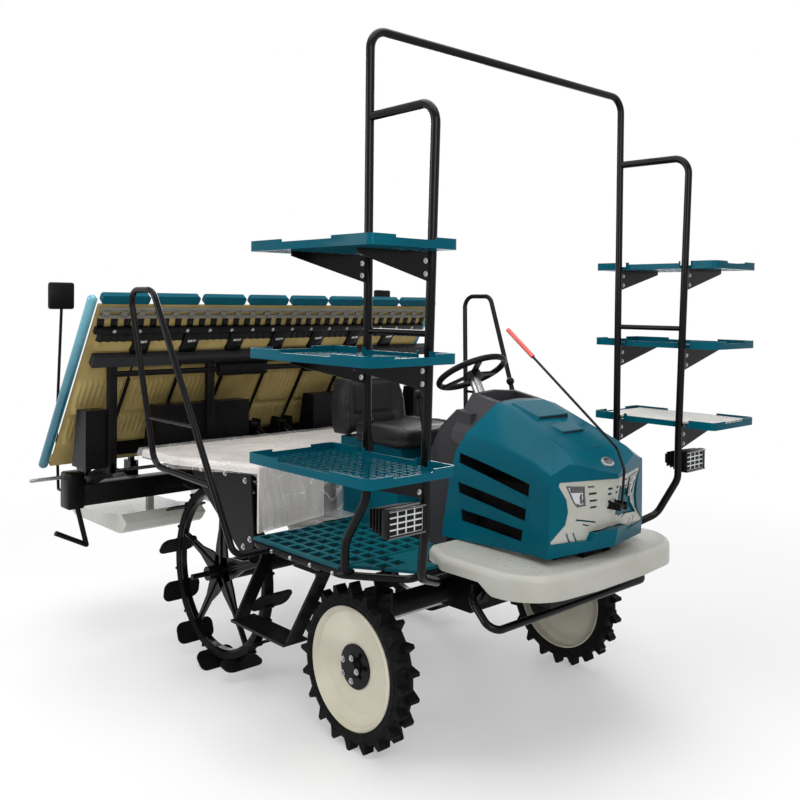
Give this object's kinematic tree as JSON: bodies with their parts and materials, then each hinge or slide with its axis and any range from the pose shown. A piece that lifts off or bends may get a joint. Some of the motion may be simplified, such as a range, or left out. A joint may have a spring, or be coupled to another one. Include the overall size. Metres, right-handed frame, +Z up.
{
  "type": "ride-on rice transplanter",
  "caption": "Four-wheel ride-on rice transplanter with a short hood, seat, seedling racks on both sides, and a lifted planting section with a tilted seedling table.",
  "frame": {"origin": "ground level, below the middle of the machine's length and width", "axes": "+X points forward, +Y to the machine's left, +Z up"},
  "size_m": [2.9224, 2.414, 2.658],
  "materials": {
    "black_steel": "semi-gloss black paint",
    "cast_case": "satin dark grey paint over castings",
    "teal_plastic": "glossy teal",
    "cream_plastic": "glossy cream",
    "black_plastic": "moulded black plastic",
    "floor_mat": "ribbed black rubber",
    "seat_vinyl": "black vinyl",
    "steering_rim": "black grip plastic",
    "tyre_rubber": "black rubber",
    "cream_wheel": "cream paint",
    "wheel_hub": "black paint with bolts",
    "bright_steel": "bright steel",
    "link_steel": "black paint",
    "grey_float": "translucent grey moulding",
    "tan_table": "tan plastic",
    "sight_orange": "red grip",
    "sight_dark": "black rod"
  },
  "bodies": {
    "chassis": {"main_frame": "black_steel", "front_axle_case": "cast_case", "rear_axle_case": "cast_case", "engine_block": "cast_case", "front_guard": "black_steel", "fender_deck": "teal_plastic", "hood_hinge": "black_steel", "dashboard": "black_plastic", "steering_column": "bright_steel", "levers": "black_plastic", "seat_base": "teal_plastic", "seat_cushion": "seat_vinyl", "seat_back": "seat_vinyl", "rear_deck": "cream_plastic", "deck_frame": "black_steel", "rear_fenders": "black_plastic", "floor_frame": "black_steel", "floor_mats": "floor_mat", "centre_floor": "black_plastic", "side_steps": "black_steel", "handrails": "black_steel", "rack_arch": "black_steel", "rack_fronts": "black_steel", "tray_brackets": "black_steel", "seedling_trays_right": "teal_plastic", "seedling_trays_left": "teal_plastic", "tray_insert": "cream_plastic", "work_lamps": "black_plastic"},
    "hood": {"hood_shell": "teal_plastic", "grille_face": "cream_plastic", "rod_bracket": "black_steel"},
    "sight": {"sight_rod": "sight_dark", "sight_tip": "sight_orange"},
    "steering_wheel": {"steering_wheel": "steering_rim"},
    "knuckle_right": {"knuckle_right": "cast_case"},
    "knuckle_left": {"knuckle_left": "cast_case"},
    "tie_rod": {"tie_rod": "bright_steel"},
    "front_wheel_right": {"front_tyre_right": "tyre_rubber", "front_dish_right": "cream_wheel", "front_hub_right": "wheel_hub"},
    "front_wheel_left": {"front_tyre_left": "tyre_rubber", "front_dish_left": "cream_wheel", "front_hub_left": "wheel_hub"},
    "rear_wheel_right": {"rear_lugs_right": "tyre_rubber", "rear_centre_right": "cream_wheel"},
    "rear_wheel_left": {"rear_lugs_left": "tyre_rubber", "rear_centre_left": "cream_wheel"},
    "lower_links": {"lower_links": "link_steel"},
    "upper_links": {"upper_links": "link_steel"},
    "lift_barrel": {"lift_barrel": "link_steel"},
    "lift_rod": {"lift_rod": "bright_steel"},
    "planting_frame": {"planting_frame": "black_steel", "planting_cases": "cast_case", "floats": "grey_float", "guide_rod": "bright_steel", "marker_lamps": "black_plastic"},
    "planting_rotors": {"planting_rotors": "link_steel"},
    "seedling_table": {"seedling_table": "tan_table", "table_ends": "teal_plastic", "table_flaps": "teal_plastic"}
  },
  "joints": [
    {"name": "steer_right", "type": "hinge", "parent": "chassis", "child": "knuckle_right", "pos_m": [0.6925, -0.51, 0.3], "axis": [0, 0, 1], "range_deg": [-38, 38]},
    {"name": "steer_left", "type": "hinge", "parent": "chassis", "child": "knuckle_left", "pos_m": [0.6925, 0.51, 0.3], "axis": [0, 0, 1], "range_deg": [-38, 38]},
    {"name": "tie_rod_swing", "type": "hinge", "parent": "knuckle_right", "child": "tie_rod", "pos_m": [0.5525, -0.51, 0.392], "axis": [0, 0, 1], "range_deg": [-38, 38]},
    {"name": "steering_wheel_turn", "type": "hinge", "parent": "chassis", "child": "steering_wheel", "pos_m": [0.6775, 0, 1.392], "axis": [-0.5, 0, 0.866], "range_deg": [-304, 304]},
    {"name": "front_wheel_right_spin", "type": "hinge", "parent": "knuckle_right", "child": "front_wheel_right", "pos_m": [0.6925, -0.618, 0.308], "axis": [0, 1, 0], "continuous": true},
    {"name": "front_wheel_left_spin", "type": "hinge", "parent": "knuckle_left", "child": "front_wheel_left", "pos_m": [0.6925, 0.618, 0.308], "axis": [0, 1, 0], "continuous": true},
    {"name": "rear_wheel_right_spin", "type": "hinge", "parent": "chassis", "child": "rear_wheel_right", "pos_m": [-0.3295, -0.6, 0.445], "axis": [0, 1, 0], "continuous": true},
    {"name": "rear_wheel_left_spin", "type": "hinge", "parent": "chassis", "child": "rear_wheel_left", "pos_m": [-0.3295, 0.6, 0.445], "axis": [0, 1, 0], "continuous": true},
    {"name": "hood_open", "type": "hinge", "parent": "chassis", "child": "hood", "pos_m": [1.3825, 0, 0.842], "axis": [0, 1, 0], "range_deg": [0, 50]},
    {"name": "sight_rod_fold", "type": "hinge", "parent": "hood", "child": "sight", "pos_m": [1.4505, 0, 0.95], "axis": [0, 1, 0], "range_deg": [0, 90]},
    {"name": "lift", "type": "hinge", "parent": "chassis", "child": "lower_links", "pos_m": [-0.3675, 0, 0.56], "axis": [0, -1, 0], "range_deg": [0, 42]},
    {"name": "upper_links_swing", "type": "hinge", "parent": "chassis", "child": "upper_links", "pos_m": [-0.3675, 0, 0.82], "axis": [0, -1, 0], "range_deg": [0, 42]},
    {"name": "planting_frame_hang", "type": "hinge", "parent": "lower_links", "child": "planting_frame", "pos_m": [-0.89031, 0, 0.76069], "axis": [0, -1, 0], "range_deg": [-42, 0]},
    {"name": "lift_barrel_swing", "type": "hinge", "parent": "chassis", "child": "lift_barrel", "pos_m": [-0.3825, 0, 0.74], "axis": [0, -1, 0], "range_deg": [0, 33]},
    {"name": "lift_rod_slide", "type": "slide", "parent": "lift_barrel", "child": "lift_rod", "axis": [-0.9646, 0, -0.2638], "range_m": [0, 0.12]},
    {"name": "planting_rotors_spin", "type": "hinge", "parent": "planting_frame", "child": "planting_rotors", "pos_m": [-1.2125, 0, 0.775], "axis": [0, 1, 0], "continuous": true},
    {"name": "seedling_table_slide", "type": "slide", "parent": "planting_frame", "child": "seedling_table", "axis": [0, 1, 0], "range_m": [-0.04, 0.21]}
  ],
  "couplings": [
    {"joint": "steer_left", "follows": "steer_right", "ratio": 1},
    {"joint": "tie_rod_swing", "follows": "steer_right", "ratio": -1},
    {"joint": "steering_wheel_turn", "follows": "steer_right", "ratio": 8},
    {"joint": "upper_links_swing", "follows": "lift", "ratio": 1},
    {"joint": "planting_frame_hang", "follows": "lift", "ratio": -1},
    {"joint": "lift_barrel_swing", "follows": "lift", "ratio": 0.776},
    {"joint": "lift_rod_slide", "follows": "lift", "m_per_rad": 0.162}
  ]
}
